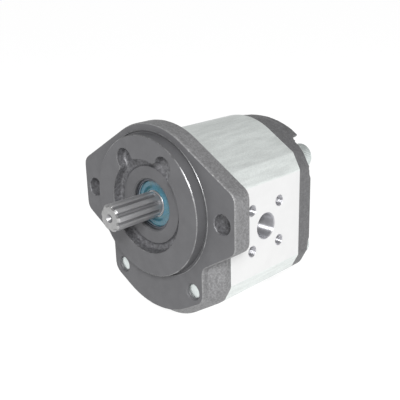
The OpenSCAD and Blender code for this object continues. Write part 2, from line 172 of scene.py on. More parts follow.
def outline(circles, inset=0.0, longest=1000.0):
    """Points of the band around the circles, moved inwards by inset. No straight piece is over longest."""
    points = []
    n = len(circles)
    for i, (cx, cz, r) in enumerate(circles):
        before = touch(circles[i - 1], circles[i])
        after = touch(circles[i], circles[(i + 1) % n])
        start, end = math.atan2(before[1], before[0]), math.atan2(after[1], after[0])
        turn = (end - start) % math.tau
        if r < 0:
            turn -= math.tau
        steps = max(2, math.ceil(abs(turn) / math.radians(3 if abs(r) > 20 else 9)))
        for k in range(steps + 1):
            a = start + turn * k / steps
            points.append((cx + (r - inset) * math.cos(a), cz + (r - inset) * math.sin(a)))
        there = circles[(i + 1) % n]
        gap = math.hypot(there[0] - cx, there[1] - cz) * math.sqrt(
            max(0.0, 1 - ((r - there[2]) / math.hypot(there[0] - cx, there[1] - cz)) ** 2)
        )
        cuts = max(1, math.ceil(gap / longest))
        p = points[-1]
        q = (there[0] + (there[2] - inset) * after[0], there[1] + (there[2] - inset) * after[1])
        points += [(p[0] + (q[0] - p[0]) * k / cuts, p[1] + (q[1] - p[1]) * k / cuts) for k in range(1, cuts)]
    return np.array(points)


def reach(points, ways, centre):
    """How far each way (angles) the closed outline lies from the centre, for an outline that bulges out."""
    rel = points - centre
    nxt = np.roll(rel, -1, 0)
    edge = nxt - rel
    found = np.full(len(ways), -1.0)
    for i, a in enumerate(ways):
        d = np.array([math.cos(a), math.sin(a)])
        cross = d[0] * edge[:, 1] - d[1] * edge[:, 0]
        cross = np.where(np.abs(cross) < 1e-12, 1e-12, cross)
        t = (rel[:, 0] * edge[:, 1] - rel[:, 1] * edge[:, 0]) / cross
        s = (rel[:, 0] * d[1] - rel[:, 1] * d[0]) / cross
        hit = t[(t > 0) & (s > -1e-6) & (s < 1 + 1e-6)]
        found[i] = hit.max()
    return found


def quarter(r, steps=4):
    """(inset, depth) along a quarter circle of radius r, from the face to the side."""
    angles = [math.pi / 2 * k / steps for k in range(steps + 1)]
    return [(r * (1 - math.sin(a)), r * (1 - math.cos(a))) for a in angles]


# --- Meshes ---


def new_object(name, verts, faces, material=None):
    """A mesh object from points in millimetres."""
    mesh = bpy.data.meshes.new(name)
    mesh.from_pydata([tuple(c * MM for c in v) for v in verts], [], faces)
    bm = bmesh.new()
    bm.from_mesh(mesh)
    bmesh.ops.recalc_face_normals(bm, faces=bm.faces)
    bm.to_mesh(mesh)
    bm.free()
    obj = bpy.data.objects.new(name, mesh)
    bpy.context.scene.collection.objects.link(obj)
    if material:
        mesh.materials.append(material)
    return obj


def loft(name, rings, material=None):
    """A closed solid through rings of equally many points (x, y, z), with flat ends."""
    n = len(rings[0])
    verts = [tuple(p) for ring in rings for p in ring]
    faces = [tuple(range(n)), tuple(range(len(verts) - n, len(verts)))[::-1]]
    for i in range(len(rings) - 1):
        for k in range(n):
            a, b = i * n + k, i * n + (k + 1) % n
            faces.append((a, b, b + n, a + n))
    return new_object(name, verts, faces, material)


def slab(name, circles, profile, material=None, longest=1000.0):
    """A solid with the outline of circles. profile is a list of (inset, y)."""
    rings = [[(x, y, z) for x, z in outline(circles, inset, longest)] for inset, y in profile]
    return loft(name, rings, material)


# Two directions across each axis and the one along it
AXES = {
    "Y": ((1, 0, 0), (0, 0, 1), (0, 1, 0)),
    "X": ((0, 1, 0), (0, 0, 1), (1, 0, 0)),
    "-X": ((0, 1, 0), (0, 0, 1), (-1, 0, 0)),
}


def spun(name, profile, at=(0, 0, 0), axis="Y", steps=64, material=None, angles=None, loop=False):
    """A solid around an axis. profile is a list of (radius, distance along the axis). A radius is one number
    or one per angle, and 0 closes the end. With loop, the last ring joins the first, which leaves a hole."""
    if angles is None:
        angles = np.arange(steps) * math.tau / steps
    n = len(angles)
    e1, e2, along = (np.array(v, float) for v in AXES[axis])
    cosines, sines = np.cos(angles), np.sin(angles)
    verts, rows = [], []
    for r, d in profile:
        start = len(verts)
        if np.isscalar(r) and r == 0:
            verts.append(np.array(at) + along * d)
            rows.append([start])
            continue
        radii = np.broadcast_to(np.asarray(r, float), (n,))
        ds = np.broadcast_to(np.asarray(d, float), (n,))
        ring = (
            np.array(at)
            + (radii * cosines)[:, None] * e1
            + (radii * sines)[:, None] * e2
            + ds[:, None] * along
        )
        verts += list(ring)
        rows.append(list(range(start, start + n)))
    faces = []
    pairs = list(zip(rows, rows[1:]))
    if loop:
        pairs.append((rows[-1], rows[0]))
    for a, b in pairs:
        for k in range(n):
            j = (k + 1) % n
            if len(a) == 1:
                faces.append((a[0], b[j], b[k]))
            elif len(b) == 1:
                faces.append((a[k], a[j], b[0]))
            else:
                faces.append((a[k], a[j], b[j], b[k]))
    return new_object(name, verts, faces, material)


def settle(obj):
    """Applies the object's modifiers."""
    graph = bpy.context.evaluated_depsgraph_get()
    mesh = bpy.data.meshes.new_from_object(obj.evaluated_get(graph), depsgraph=graph)
    old = obj.data
    obj.modifiers.clear()
    obj.data = mesh
    bpy.data.meshes.remove(old)
    return obj


def combine(obj, others, operation):
    """Cuts the others from obj, or joins them to it. Faces that a cutter leaves take its material."""
    for other in others:
        cut = obj.modifiers.new("Boolean", "BOOLEAN")
        cut.operation = operation
        cut.solver = "EXACT"
        cut.material_mode = "TRANSFER"
        cut.object = other
        settle(obj)
        mesh = other.data
        bpy.data.objects.remove(other)
        bpy.data.meshes.remove(mesh)
    return obj


def join(obj, *others):
    return combine(obj, others, "UNION")


def cut(obj, *others):
    return combine(obj, others, "DIFFERENCE")


def cast(obj, rounds=6):
    """Rounds a rough solid's edges and corners, as a sand mould leaves them."""
    remesh = obj.modifiers.new("Remesh", "REMESH")
    remesh.mode = "VOXEL"
    remesh.voxel_size = CAST_VOXEL * MM
    smooth = obj.modifiers.new("Smooth", "SMOOTH")
    smooth.factor = 0.5
    smooth.iterations = rounds
    return settle(obj)


def finish_piece(obj, body="housing", replaces=(), angle=32):
    """Shades a piece, sets it on the body it rides on, and hides the CAD nodes it stands for."""
    obj.data.polygons.foreach_set("use_smooth", [True] * len(obj.data.polygons))
    obj.data.set_sharp_from_angle(angle=math.radians(angle))
    weighted = obj.modifiers.new("Weighted normals", "WEIGHTED_NORMAL")
    weighted.keep_sharp = True
    weighted.weight = 80
    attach(obj, body)
    if replaces:
        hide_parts(*replaces)
    return obj


def repaint(obj, material, chosen, among=None):
    """Gives another material to the faces that chosen picks by their centre, in millimetres, and normal."""
    obj.data.materials.append(material)
    last = len(obj.data.materials) - 1
    faces = obj.data.polygons
    for i in range(len(faces)) if among is None else among:
        if chosen(faces[i].center / MM, faces[i].normal):
            faces[i].material_index = last


def thread_profile(r, y0, y1, pitch, depth, angles):
    """Rings of a screw thread from y0 to y1, fading in and out at its ends."""
    per_turn = 8
    count = math.ceil((y1 - y0) / pitch * per_turn)
    rings = []
    for i in range(count + 1):
        y = y0 + (y1 - y0) * i / count
        fade = min(1.0, (y - y0) / pitch, (y1 - y) / pitch)
        phase = (y / pitch + angles / math.tau) % 1.0
        rings.append((r - depth * max(0.0, fade) * np.abs(2 * phase - 1), y))
    return rings


def hole(name, x, z, r, y0, y1, bevel, material):
    """A cutter along Y with small bevels where it leaves the faces y0 and y1."""
    wide = r + bevel + 1
    profile = [(0, y0 - 1), (wide, y0 - 1), (r, y0 + bevel), (r, y1 - bevel), (wide, y1 + 1), (0, y1 + 1)]
    return spun(name, profile, at=(x, 0, z), steps=48, material=material)


def box_section(r0, r1, y0, y1, edge):
    """The section of a flat ring with bevelled edges, as (radius, y) from its inner front corner round."""
    return [
        (r0, y0 + edge),
        (r0 + edge, y0),
        (r1 - edge, y0),
        (r1, y0 + edge),
        (r1, y1 - edge),
        (r1 - edge, y1),
        (r0 + edge, y1),
        (r0, y1 - edge),
    ]


# --- Materials ---


def shade(name, colour, roughness, metallic, low=None, grain=0.0, grain_mm=0.6, lump=0.0, lump_mm=3.0,
          patches=0.08, patch_mm=9.0, stretch=(1, 1, 1), rough_spread=0.1, wear_and_sheen=0.0, coat=0.0, specular=0.5,
          rings=0.0, ring_mm=0.35, ring_axis="Y", ring_centre=(0, 0, 0), speckle=0.0,
          smear=None):
    """A surface with uneven colour and roughness. grain and lump are bump heights in millimetres. rings are
    turning marks around an axis along ring_axis, and smear is the direction they spread highlights in.
    The edge lightening colours convex edges lighter, partly as rubbed metal and partly as a painted edge
    highlight, and stretch draws the pattern out along an axis."""
    material = bpy.data.materials.new(name)
    material.use_nodes = True
    nodes, links = material.node_tree.nodes, material.node_tree.links
    nodes.clear()

    def node(kind, **values):
        made = nodes.new(kind)
        for key, value in values.items():
            setattr(made, key, value)
        return made

    def noise(size_mm, detail, place):
        made = node("ShaderNodeTexNoise")
        made.inputs["Scale"].default_value = 1 / (size_mm * MM)
        made.inputs["Detail"].default_value = detail
        links.new(place, made.inputs["Vector"])
        return made.outputs["Fac"]

    def remap(value, from_low, from_high, to_low, to_high):
        made = node("ShaderNodeMapRange")
        made.inputs["From Min"].default_value = from_low
        made.inputs["From Max"].default_value = from_high
        made.inputs["To Min"].default_value = to_low
        made.inputs["To Max"].default_value = to_high
        links.new(value, made.inputs["Value"])
        return made.outputs["Result"]

    def maths(kind, a, b):
        made = node("ShaderNodeMath", operation=kind)
        for socket, value in zip(made.inputs, (a, b)):
            if isinstance(value, (int, float)):
                socket.default_value = value
            else:
                links.new(value, socket)
        return made.outputs[0]

    place = node("ShaderNodeTexCoord").outputs["Object"]
    drawn = node("ShaderNodeMapping")
    drawn.inputs["Scale"].default_value = stretch
    links.new(place, drawn.inputs["Vector"])
    drawn = drawn.outputs["Vector"]

    shader = node("ShaderNodeBsdfPrincipled")
    shader.inputs["Metallic"].default_value = metallic
    shader.inputs["Specular IOR Level"].default_value = specular
    shader.inputs["Coat Weight"].default_value = coat
    shader.inputs["Coat Roughness"].default_value = 0.12
    if smear:
        shader.inputs["Anisotropic"].default_value = 1
        along = node("ShaderNodeCombineXYZ")
        for socket, value in zip(along.inputs, smear):
            socket.default_value = value
        links.new(along.outputs["Vector"], shader.inputs["Tangent"])
    output = node("ShaderNodeOutputMaterial")
    links.new(shader.outputs[0], output.inputs["Surface"])

    # Colour: large patches, fine speckle, and lighter convex edges that are partly rubbed metal and partly a
    # painted highlight
    low = low or tuple(c * (1 - patches) for c in colour)
    mixed = node("ShaderNodeMix", data_type="RGBA")
    mixed.inputs["A"].default_value = (*low, 1)
    mixed.inputs["B"].default_value = (*colour, 1)
    links.new(remap(noise(patch_mm, 4, drawn), 0.35, 0.65, 0, 1), mixed.inputs["Factor"])
    tint = mixed.outputs["Result"]
    if speckle:
        spotted = node("ShaderNodeMix", data_type="RGBA", blend_type="MULTIPLY")
        dark = remap(noise(grain_mm * 1.7, 2, place), 0.3, 0.7, 1 - speckle, 1 + speckle)
        grey = node("ShaderNodeCombineColor")
        for socket in ("Red", "Green", "Blue"):
            links.new(dark, grey.inputs[socket])
        spotted.inputs["Factor"].default_value = 1
        links.new(tint, spotted.inputs["A"])
        links.new(grey.outputs["Color"], spotted.inputs["B"])
        tint = spotted.outputs["Result"]
    # Painted edge highlight, partly also rubbed metal: convex edges, found by pointiness, get a lighter
    # colour
    if wear_and_sheen:
        worn_and_lit = node("ShaderNodeMix", data_type="RGBA")
        edges = remap(node("ShaderNodeNewGeometry").outputs["Pointiness"], 0.52, 0.62, 0, wear_and_sheen)
        links.new(maths("MULTIPLY", edges, noise(1.3, 3, place)), worn_and_lit.inputs["Factor"])
        links.new(tint, worn_and_lit.inputs["A"])
        worn_and_lit.inputs["B"].default_value = (0.55, 0.55, 0.54, 1)
        tint = worn_and_lit.outputs["Result"]
    links.new(tint, shader.inputs["Base Color"])

    # Roughness
    smoothest, roughest = roughness - rough_spread, roughness + rough_spread
    uneven = remap(noise(patch_mm * 0.4, 5, drawn), 0.3, 0.7, smoothest, roughest)
    links.new(uneven, shader.inputs["Roughness"])

    # Bump
    normal = None
    steps = [(grain, noise(grain_mm, 4, drawn))] if grain else []
    if lump:
        steps.append((lump, noise(lump_mm, 3, place)))
    if rings:
        apart = node("ShaderNodeSeparateXYZ")
        links.new(place, apart.inputs[0])
        u, v = [
            maths("SUBTRACT", apart.outputs[name], centre * MM)
            for name, centre in zip("XYZ", ring_centre)
            if name != ring_axis
        ]
        radius = maths("SQRT", maths("ADD", maths("MULTIPLY", u, u), maths("MULTIPLY", v, v)), 0)
        along = maths("ADD", radius, apart.outputs[ring_axis])
        wave = maths("SINE", maths("MULTIPLY", along, math.tau / (ring_mm * MM)), 0)
        steps.append((rings, remap(wave, -1, 1, 0, 1)))
    for height, value in steps:
        bump = node("ShaderNodeBump")
        bump.inputs["Strength"].default_value = 1
        bump.inputs["Distance"].default_value = height * MM
        links.new(value, bump.inputs["Height"])
        if normal:
            links.new(normal, bump.inputs["Normal"])
        normal = bump.outputs["Normal"]
    if normal:
        links.new(normal, shader.inputs["Normal"])
    return material


def grey(value, blue=0.0):
    return (value, value, value * (1 + blue))


CAST = shade("cast_iron_phosphated", grey(0.19, 0.02), 0.50, 0.3, grain=0.10, grain_mm=0.6, lump=0.22,
             lump_mm=2.4, patches=0.18, patch_mm=2.0, wear_and_sheen=0.9, speckle=0.25)
MACHINED = shade("cast_iron_turned", grey(0.098, 0.05), 0.52, 0.12, grain=0.012, grain_mm=0.35, patches=0.10,
                 patch_mm=14, rings=0.006, specular=0.4)
# Lighter colour for the pilot rim's and the relief lip's narrow bevels: a painted highlight line, partly also
# rubbed metal
BEVEL_HIGHLIGHT = shade("painted_highlight_bevel", grey(0.27, 0.02), 0.33, 0.8, grain=0.03, grain_mm=0.6, patches=0.5, patch_mm=4)
COVER_CAST = shade("cover_cast_iron", grey(0.128, 0.03), 0.48, 0.3, grain=0.08, grain_mm=0.6, lump=0.18,
                   lump_mm=2.6, patches=0.20, patch_mm=3.0, wear_and_sheen=0.7, speckle=0.2)
EXTRUDED = shade("aluminium_extruded", (0.71, 0.745, 0.73), 0.45, 0.6, grain=0.03, grain_mm=0.5, patches=0.13,
                 patch_mm=2.8, stretch=(1, 0.16, 1), rough_spread=0.05, speckle=0.07)
BORED = shade("aluminium_bored", (0.62, 0.62, 0.65), 0.50, 0.85, grain=0.01, grain_mm=0.4, patches=0.15,
              patch_mm=3, rings=0.05, ring_mm=0.9, ring_axis="X", ring_centre=(0, 47.6, -15.7),
              rough_spread=0.04, smear=(1, 0, 0))
MILLED = shade("aluminium_milled", (0.715, 0.715, 0.715), 0.42, 0.6, grain=0.006, grain_mm=0.3, patches=0.03,
               patch_mm=12, rough_spread=0.05)
STEEL = shade("steel_ground", (0.56, 0.56, 0.57), 0.37, 0.85, grain=0.012, grain_mm=0.5, patches=0.12,
              patch_mm=3, stretch=(1, 0.12, 1), rough_spread=0.04)
# Recess and ear holes: a rough, mottled cast surface, coloured darker than the outer casting as painted shade
RECESS_SHADE = shade("cast_iron_recess_painted_shade", grey(0.140, 0.06), 0.45, 0.3, grain=0.14, grain_mm=0.7, lump=0.3,
             lump_mm=2.2, patches=0.4, patch_mm=1.6, speckle=0.3)
# Darker steel for the shaft's end face and chamfer: painted shade on a face the key light hits; the turning
# rings are bumps
END_FACE_SHADE = shade("steel_faced_painted_shade", (0.34, 0.34, 0.34), 0.42, 0.7, grain=0.008, grain_mm=0.3, patches=0.12, patch_mm=3,
            rings=0.02, ring_mm=0.7)
# Darker steel for the spline's gap floors and the centre drill's cone: painted shade
SPLINE_GAP_SHADE = shade("steel_gap_painted_shade", (0.33, 0.33, 0.34), 0.40, 0.85, grain=0.012, grain_mm=0.5, patches=0.2, patch_mm=3,
            stretch=(1, 0.12, 1), rough_spread=0.04)
TEAL = shade("rubber_teal", (0.028, 0.115, 0.17), 0.30, 0.0, low=(0.03, 0.10, 0.12), grain=0.012,
             grain_mm=0.4, patch_mm=2.5, coat=0.6)
BLACK = shade("rubber_black", (0.025, 0.025, 0.026), 0.55, 0.0, grain=0.02, grain_mm=0.4, patches=0.3,
              patch_mm=3)
CASE = shade("seal_case_steel", (0.50, 0.55, 0.62), 0.35, 0.85, grain=0.006, grain_mm=0.3, patches=0.15,
             patch_mm=4)
SPRING = shade("spring_steel", (0.11, 0.115, 0.13), 0.36, 0.9, grain=0.008, grain_mm=0.3, patches=0.2,
               patch_mm=3)
ZINC = shade("zinc_plating", (0.70, 0.75, 0.74), 0.33, 0.9, grain=0.010, grain_mm=0.35, patches=0.15,
             patch_mm=4)
BLOCK = shade("bearing_alloy", (0.62, 0.61, 0.57), 0.33, 0.95, grain=0.006, grain_mm=0.3, patches=0.12,
              patch_mm=5, rings=0.004)
BRONZE = shade("bush_bronze", (0.50, 0.33, 0.19), 0.36, 0.95, grain=0.006, grain_mm=0.3, patches=0.2,
               patch_mm=3)
PLASTIC = shade("backup_plastic", (0.80, 0.76, 0.66), 0.5, 0.0, grain=0.01, grain_mm=0.4, patches=0.1,
                patch_mm=3)
DOWEL = shade("dowel_steel", (0.45, 0.45, 0.46), 0.25, 1.0, grain=0.004, grain_mm=0.25, patches=0.15,
              patch_mm=3)


# --- Front flange ---


def flare_rings():
    """The rim behind the flange: the body's outline, drawn in to the lower lobe's outline at the front, with
    a small fillet where it meets the back of the ears."""
    centre = np.array((0, MID_Z))
    back = outline(BODY_CIRCLES, 0, 3)
    ways = np.arctan2(back[:, 1] - centre[1], back[:, 0] - centre[0])
    directions = np.stack((np.cos(ways), np.sin(ways)), 1)
    front = centre + reach(outline(LOBE_CIRCLES), ways, centre)[:, None] * directions
    rings = []
    flare_y0, flare_y1 = 4.5, 11
    stations = [(flare_y0 - 0.5, -0.15)]
    stations += [(flare_y0 + (flare_y1 - flare_y0) * t, t) for t in (0, 0.2, 0.4, 0.6, 0.8, 1)]
    for y, t in stations:
        rings.append([(x, y, z) for x, z in front + (back - front) * t])
    fillet_r = 1.8
    on_ear = np.clip((back[:, 1] + 33) / 7, 0, 1)
    out = (outline(BODY_CIRCLES, -1, 3) - back) * on_ear[:, None]
    for h in (0, 0.15, 0.4, 0.8, 1.25, fillet_r):
        add = fillet_r - math.sqrt(fillet_r**2 - (fillet_r - h) ** 2)
        rings.append([(x, EAR_T + h, z) for x, z in back + out * add])
    rings.append([(x, FLANGE_Y + 1, z) for x, z in back])
    return rings


def recess_outline():
    """Outline of the recess: a disc with two pockets, with rounded corners between them."""
    d = math.hypot(LOBE_X, LOBE_Z)
    way = math.atan2(LOBE_Z, LOBE_X)
    # A corner circle outside both, where the disc and a pocket meet
    a, b, c = MOAT_R + CUSP_R, LOBE_R + CUSP_R, d
    swing = math.acos((a * a + c * c - b * b) / (2 * a * c))

    def corner(angle):
        return a * math.cos(angle), a * math.sin(angle), -CUSP_R

    return [
        (0, 0, MOAT_R),
        corner(way - swing),
        (LOBE_X, LOBE_Z, LOBE_R),
        corner(way + swing),
        (0, 0, MOAT_R),
        corner(math.pi - way - swing),
        (-LOBE_X, LOBE_Z, LOBE_R),
        corner(math.pi - way + swing),
    ]


def bolt_thread(angles, y0, y1, spare=0.0):
    """Rings of the M10 thread that the assembly bolts and their holes share."""
    return thread_profile(THREAD_R + spare, y0, y1, THREAD_PITCH, THREAD_DEPTH, angles)


def seal_groove(y0, away):
    """A cutter for the oval groove of the seal between two faces. away is the way it goes in, 1 or -1."""
    inner, outer, depth = 22.2, 24.2, 1.8
    walls = [outline([(0, DRIVEN_Z, r), (0, 0, r)]) for r in (inner, outer)]
    n = len(walls[0])
    verts, faces = [], []
    for y in (y0 - away, y0 + away * depth):
        for wall in walls:
            verts += [(x, y, z) for x, z in wall]
    for k in range(n):
        j = (k + 1) % n
        for a, b in ((0, n), (n, 3 * n), (3 * n, 2 * n), (2 * n, 0)):
            faces.append((a + k, a + j, b + j, b + k))
    return new_object("seal_groove", verts, faces, MACHINED)


def dowel_holes(y0, y1):
    """Cutters for the two dowels of a joint face, at opposite corners."""
    profile = [(0, y0), (DOWEL_R, y0), (DOWEL_R, y1), (0, y1)]
    places = [(side * DOWEL_X, 0, MID_Z + side * DOWEL_DZ) for side in (-1, 1)]
    return [spun("dowel_hole", profile, at=place, steps=32, material=MACHINED) for place in places]


def front_flange():
    """The flange, cast with a machining allowance of 1 mm and then machined."""
    casting = slab(
        "flange_casting",
        FLANGE_CIRCLES,
        [(inset, y - 0.2) for inset, y in quarter(1.0)] + [(0, EAR_T - 0.5), (0.5, EAR_T)],
        CAST,
        longest=4,
    )
    pilot = spun(
        "pilot_blank",
        [(0, 2), (PILOT_R + 1.5, 2), (PILOT_R + 1.5, PILOT_Y - 1), (0, PILOT_Y - 1)],
        steps=96,
        material=CAST,
    )
    join(casting, loft("rim", flare_rings(), CAST), pilot)
    recess = slab(
        "recess",
        recess_outline(),
        [(-0.5, PILOT_Y - 2), (0.0, PILOT_Y + 0.6), (0.4, MOAT_FLOOR_Y - 0.9), (1.2, MOAT_FLOOR_Y)],
        CAST,
    )
    cut(casting, recess)
    boss = spun(
        "boss",
        [
            (0, MOAT_FLOOR_Y + 2),
            (BOSS_R + 0.5, MOAT_FLOOR_Y + 1),
            (BOSS_R + 0.4, MOAT_FLOOR_Y - 0.3),
            (BOSS_R, BOSS_Y - 1),
            (0, BOSS_Y - 1),
        ],
        steps=96,
        material=CAST,
    )
    join(casting, boss)
    cast(casting)

    # The relief groove round the pilot's foot, with a low lip beside it
    groove_r, relief_depth = PILOT_R + 1.2, 0.6
    lip_r, lip_h, bevel = groove_r + 0.45, 0.28, 0.15
    face = spun(
        "face_cut",
        [
            (PILOT_R, -FAR),
            (FAR, -FAR),
            (FAR, 0),
            (lip_r + 2 * bevel, 0),
            (lip_r, -lip_h),
            (groove_r + bevel, -lip_h),
            (groove_r, -bevel),
            (groove_r, relief_depth),
            (PILOT_R, relief_depth),
        ],
        steps=180,
        material=MACHINED,
        loop=True,
    )
    chamfer = 0.42
    pilot_face = spun(
        "pilot_cut",
        [
            (0, -FAR),
            (PILOT_R + 1, -FAR),
            (PILOT_R + 1, PILOT_Y + chamfer + 1),
            (PILOT_R - chamfer, PILOT_Y),
            (0, PILOT_Y),
        ],
        steps=180,
        material=MACHINED,
    )
    ring_groove = 0.8
    seat = spun(
        "seal_seat",
        [
            (0, -FAR),
            (BOSS_R + 1, -FAR),
            (BOSS_R + 1, BOSS_Y),
            (SEAL_R + ring_groove, BOSS_Y),
            (SEAL_R, BOSS_Y + ring_groove),
            (SEAL_R, RING_Y),
            (SEAL_R + ring_groove, RING_Y),
            (SEAL_R + ring_groove, SEAL_Y),
            (SEAL_R, SEAL_Y),
            (SEAL_R, SEAL_BACK_Y),
            (PASSAGE_R, SEAL_BACK_Y),
            (PASSAGE_R, FAR),
            (0, FAR),
        ],
        steps=96,
        material=MACHINED,
    )
    joint_face = spun("joint_cut", [(0, FLANGE_Y), (FAR, FLANGE_Y), (FAR, FAR), (0, FAR)], material=MACHINED)
    cut(casting, face, pilot_face, seat, joint_face)
    for side in (-1, 1):
        # The ear holes' walls get the darker recess colour, painted shade
        cut(casting, hole("ear_hole", side * EAR_HOLE_X, 0, EAR_HOLE_R, 0, EAR_T, 0.5, RECESS_SHADE))
    angles = np.arange(36) * math.tau / 36
    for x, z in BOLT_PLACES:
        # The two lower holes go through and are countersunk. The upper two end under the face.
        start = 0.2 if z > MID_Z else -1
        rings = bolt_thread(angles, start, FLANGE_Y + 1, 0.08)
        if z < MID_Z:
            rings = [(6.3, -1), (THREAD_R, 0.4)] + [ring for ring in rings if ring[1] > 0.6]
        profile = [(0, rings[0][1])] + rings + [(0, rings[-1][1])]
        cut(casting, spun("tapped_hole", profile, at=(x, 0, z), angles=angles, material=MACHINED))
    cut(casting, seal_groove(FLANGE_Y, -1), *dowel_holes(FLANGE_Y - DOWEL_DEPTH, FLANGE_Y + 1))

    def bright(centre, normal):
        """Picks the narrow bevels that get a lighter colour: a painted highlight line, partly also rubbed
        metal.
        """
        r = math.hypot(centre.x, centre.z)
        on_rim = abs(r - PILOT_R + chamfer / 2) < chamfer / 2 and PILOT_Y < centre.y < PILOT_Y + chamfer
        on_lip = abs(r - lip_r - bevel) < bevel and -0.35 < centre.y < 0
        return (on_rim or on_lip) and 0.3 < abs(normal.y) < 0.95

    def in_recess(centre, normal):
        return math.hypot(centre.x, centre.z) < PILOT_R - 4.275 and PILOT_Y + 0.5 < centre.y < relief_depth

    cast_slot = casting.data.materials.find(CAST.name)
    was_cast = [face.index for face in casting.data.polygons if face.material_index == cast_slot]
    # The narrow bevels get the lighter colour, a painted highlight
    repaint(casting, BEVEL_HIGHLIGHT, bright)
    # The recess's cast faces get the darker colour, painted shade
    repaint(casting, RECESS_SHADE, in_recess, was_cast)
    finish_piece(casting, replaces=("front_flange",))


# --- Body ---


def port(side, r, pcd):
    """Cutters for one port: its bore and four threaded screw holes."""
    place = mount_mm("outlet_port" if side > 0 else "inlet_port")[0]
    axis = "X" if side > 0 else "-X"
    screws = pcd / 2 / math.sqrt(2)
    bevel, outside = 0.6, HALF_W + 1
    shelf, inner_r = HALF_W - 20, r - 0.5
    profile = [(0, 4), (inner_r, 4), (inner_r, shelf), (r, shelf), (r, HALF_W - bevel)]
    profile += [(r + bevel + 1, outside), (0, outside)]
    centre = (0, place.y, place.z)
    bore = spun("port_bore", profile, at=centre, axis=axis, steps=72, material=BORED)
    angles = np.arange(36) * math.tau / 36
    cutters = [bore]
    for sy in (-1, 1):
        for sz in (-1, 1):
            # An M6 thread, 12 mm deep, with the drill's cone below it
            rings = thread_profile(2.95, HALF_W - 12, HALF_W - 0.5, 1.0, 0.5, angles)
            cone = [(0, HALF_W - 14.5), (2.5, HALF_W - 13)]
            mouth = [(3.0, HALF_W - 0.45), (4.6, outside), (0, outside)]
            cutters.append(
                spun(
                    "screw_hole",
                    cone + rings + mouth,
                    at=(0, place.y + sy * screws, place.z + sz * screws),
                    axis=axis,
                    angles=angles,
                    material=BORED,
                )
            )
    return cutters


def pump_body():
    """The body, sawn from an extrusion and bored."""
    edge = 0.3
    body = slab(
        "body_extrusion",
        BODY_CIRCLES,
        [(edge, FLANGE_Y), (0, FLANGE_Y + edge), (0, COVER_Y - edge), (edge, COVER_Y)],
        EXTRUDED,
        longest=12,
    )
    outlet, inlet = mount_mm("outlet_port")[1]["r_mm"], mount_mm("inlet_port")[1]["r_mm"]
    outlet_pcd = mount_mm("outlet_port_screws")[1]["spacing_x_mm"] * math.sqrt(2)
    inlet_pcd = mount_mm("inlet_port_screws")[1]["spacing_x_mm"] * math.sqrt(2)
    gear_bore_r = 19.3
    profile = [(0, FLANGE_Y - 1), (gear_bore_r, FLANGE_Y - 1), (gear_bore_r, COVER_Y + 1), (0, COVER_Y + 1)]
    bores = [spun("gear_bore", profile, at=(0, 0, z), steps=96, material=BORED) for z in (0, DRIVEN_Z)]
    cut(body, *bores, *port(1, outlet, outlet_pcd), *port(-1, inlet, inlet_pcd))
    for x, z in BOLT_PLACES:
        cut(body, hole("bolt_hole", x, z, BOLT_HOLE_R, FLANGE_Y, COVER_Y, edge, BORED))
    cut(body, *dowel_holes(FLANGE_Y - 1, FLANGE_Y + DOWEL_DEPTH))
    cut(body, *dowel_holes(COVER_Y - DOWEL_DEPTH, COVER_Y + 1))

    def on_side(centre, normal):
        return abs(normal.x) > 0.999 and abs(abs(centre.x) - HALF_W) < 0.01

    repaint(body, MILLED, on_side)
    finish_piece(body, replaces=("pump_body",))


# --- Rear cover ---


def crowned(name, y0, y1, crown_r, half_w=60):
    """A block of the cover: the body's outline with a flatter top and bottom, up to half_w to each side."""
    block = slab(name, BODY_CIRCLES, [(0, y0), (0, y1)], COVER_CAST)
    crown_dz = 2.5
    profile = [(0, y0 - 1), (crown_r, y0 - 1), (crown_r, y1 + 1), (0, y1 + 1)]
    for z in (MID_Z - crown_dz, MID_Z + crown_dz):
        disc = spun("disc", profile, at=(0, 0, z), steps=180, material=COVER_CAST)
        combine(block, [disc], "INTERSECT")
    x, above, below = half_w - 1, 60, -90
    corners = [(x, above, 1), (-x, above, 1), (-x, below, 1), (x, below, 1)]
    sides = slab("sides", corners, [(0, y0 - 2), (0, y1 + 2)], COVER_CAST)
    return combine(block, [sides], "INTERSECT")


def rear_cover():
    """The rear cover, cast with pockets for the bolts, and then faced and drilled."""
    crown_r, raised_crown_r, raised_half_w = 56, 55.3, 30
    cover = crowned("cover_casting", COVER_Y - 1, COVER_SIDE_Y, crown_r)
    join(cover, crowned("raised", COVER_Y, COVER_BACK_Y, raised_crown_r, raised_half_w))
    behind = COVER_BACK_Y + 1
    pocket_r, pocket_dz = 16, 3.2
    floor_y = BOLT_SEAT_Y + 0.25
    pocket_profile = [(0, floor_y), (pocket_r - 1.6, floor_y), (pocket_r - 0.2, floor_y + 1.2)]
    pocket_profile += [(pocket_r + 0.6, behind), (0, behind)]
    for x, z in BOLT_PLACES:
        pocket_z = z - math.copysign(pocket_dz, z - MID_Z)
        cut(cover, spun("pocket", pocket_profile, at=(x, 0, pocket_z), material=COVER_CAST))
    cast(cover, rounds=14)
    front_y = COVER_Y - 9
    front = spun("front_cut", [(0, COVER_Y), (FAR, COVER_Y), (FAR, front_y), (0, front_y)], material=MACHINED)
    cut(cover, front)
    spot_r = 9.8
    seat_profile = [(0, COVER_Y - 1), (BOLT_HOLE_R, COVER_Y - 1), (BOLT_HOLE_R, BOLT_SEAT_Y)]
    seat_profile += [(spot_r, BOLT_SEAT_Y), (spot_r, behind), (0, behind)]
    for x, z in BOLT_PLACES:
        cut(cover, spun("bolt_seat", seat_profile, at=(x, 0, z), material=MACHINED))
    cut(cover, seal_groove(COVER_Y, 1), *dowel_holes(COVER_Y - 1, COVER_Y + DOWEL_DEPTH))
    finish_piece(cover, replaces=("rear_cover",))


# --- Bolts and washers ---


def hexagon(angles, across):
    """Radius of a hexagon at each angle."""
    return across / 2 / np.cos((angles + math.pi / 6) % (math.pi / 3) - math.pi / 6)


